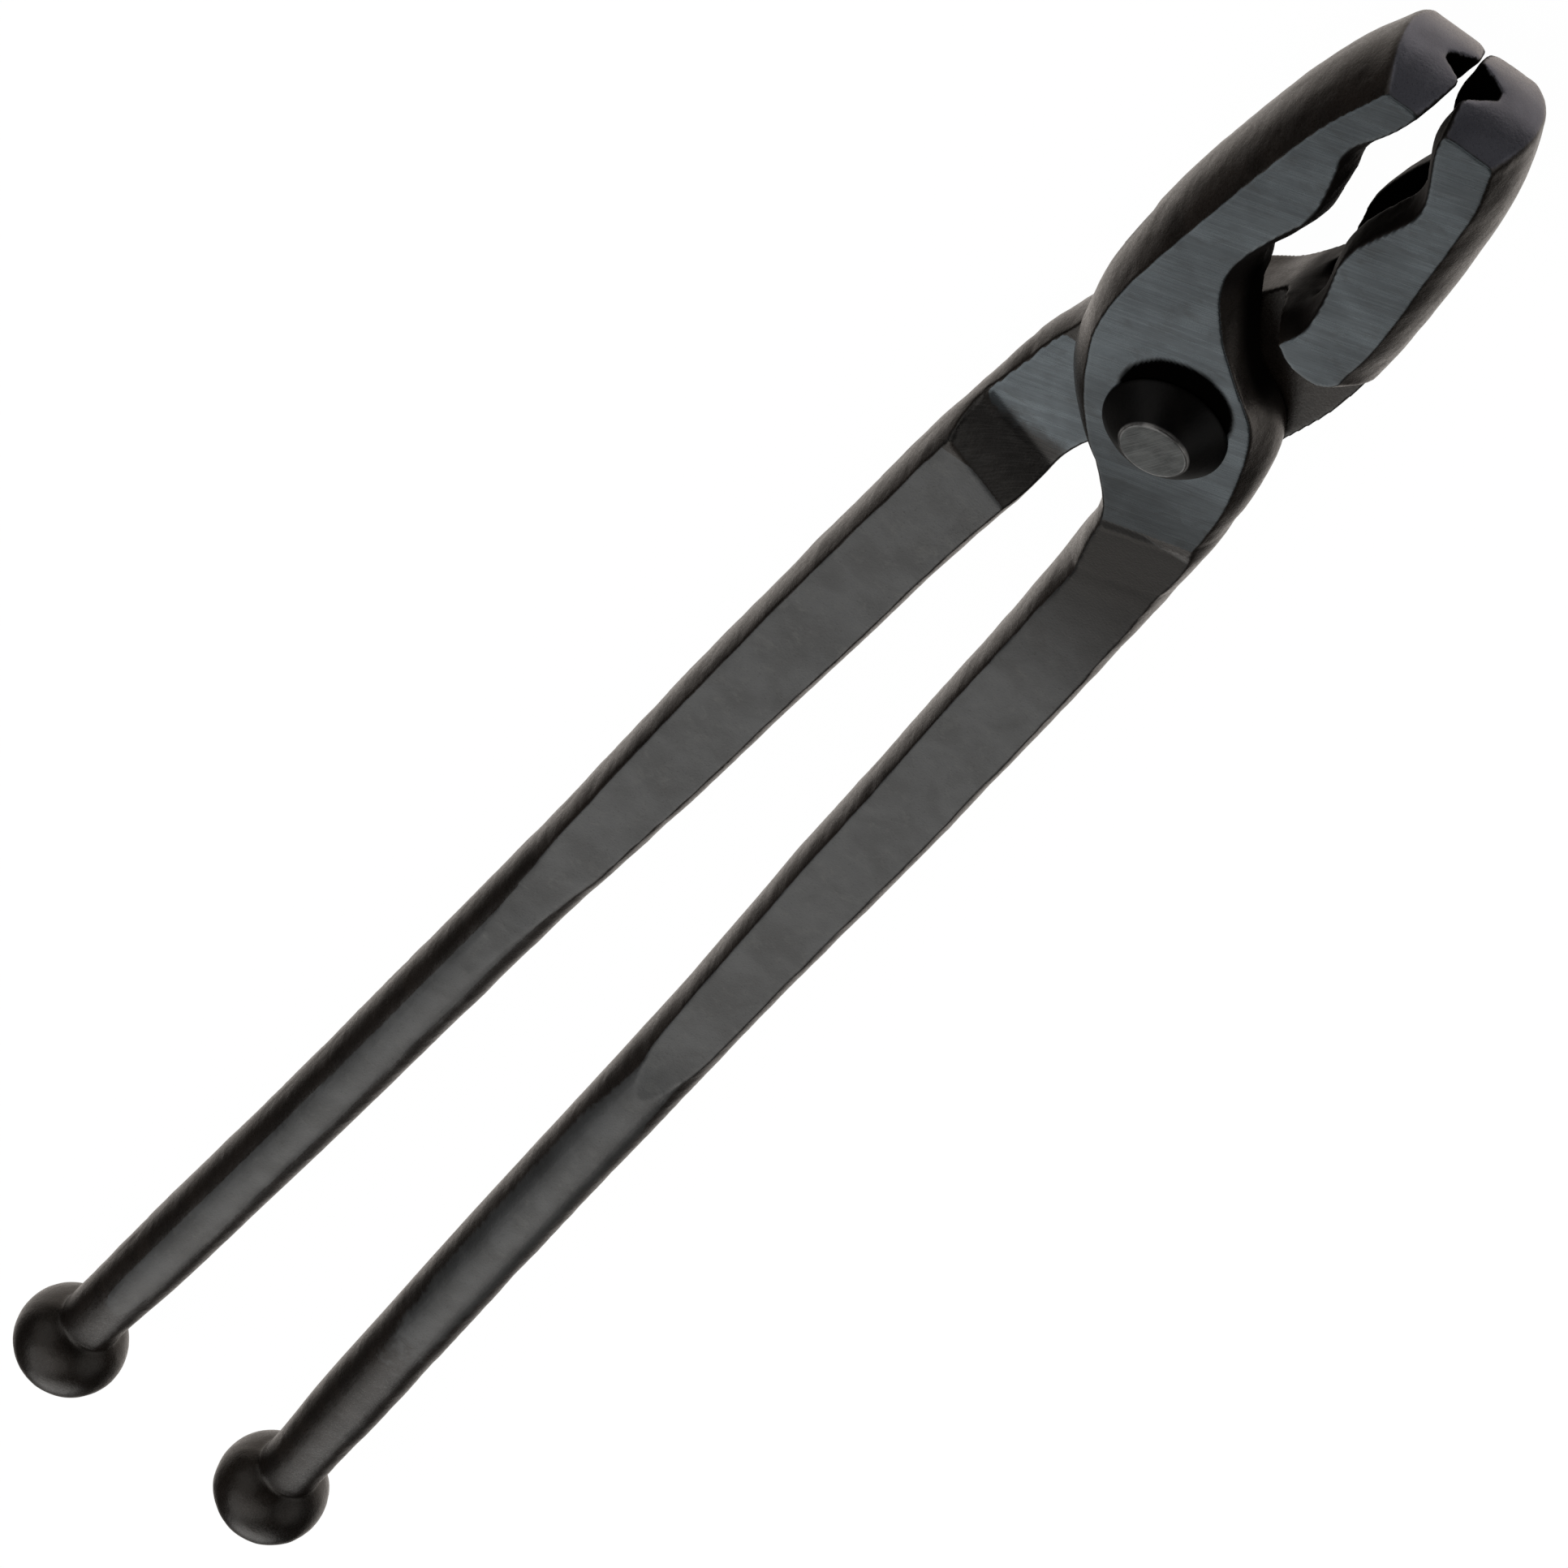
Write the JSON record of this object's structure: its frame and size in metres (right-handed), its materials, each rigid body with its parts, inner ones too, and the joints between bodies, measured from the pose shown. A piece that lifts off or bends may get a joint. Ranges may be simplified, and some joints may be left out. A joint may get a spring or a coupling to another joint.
{
  "type": "blacksmith tongs",
  "caption": "Forged smith's tongs with V-notched hollow-bit jaws, crossed arms on a cone-head rivet, and long reins that taper from flat to round and end in balls.",
  "frame": {"origin": "centre of the bounding box, on the mid-plane between the two bosses; the rivet axis crosses +X at 114.906 mm", "axes": "+X along the tool towards the jaw tips; +Z parallel to the rivet axis, out of the front arm; +Y towards the front arm's jaw"},
  "size_m": [0.3558, 0.0494, 0.0228],
  "materials": {
    "front_arm_steel": "dark forge scale on the sides, ground satin grey on the flats",
    "rear_arm_steel": "dark forge scale on the sides, ground satin grey on the flats",
    "rivet_steel": "blackened cone with a worn bright flat top"
  },
  "bodies": {
    "front": {"front_arm": "front_arm_steel", "pivot_rivet": "rivet_steel"},
    "rear": {"rear_arm": "rear_arm_steel"}
  },
  "joints": [
    {"name": "pivot", "type": "hinge", "parent": "front", "child": "rear", "pos_m": [0.11491, 0, 0], "axis": [0, 0, -1], "range_deg": [-0.1, 60]}
  ]
}
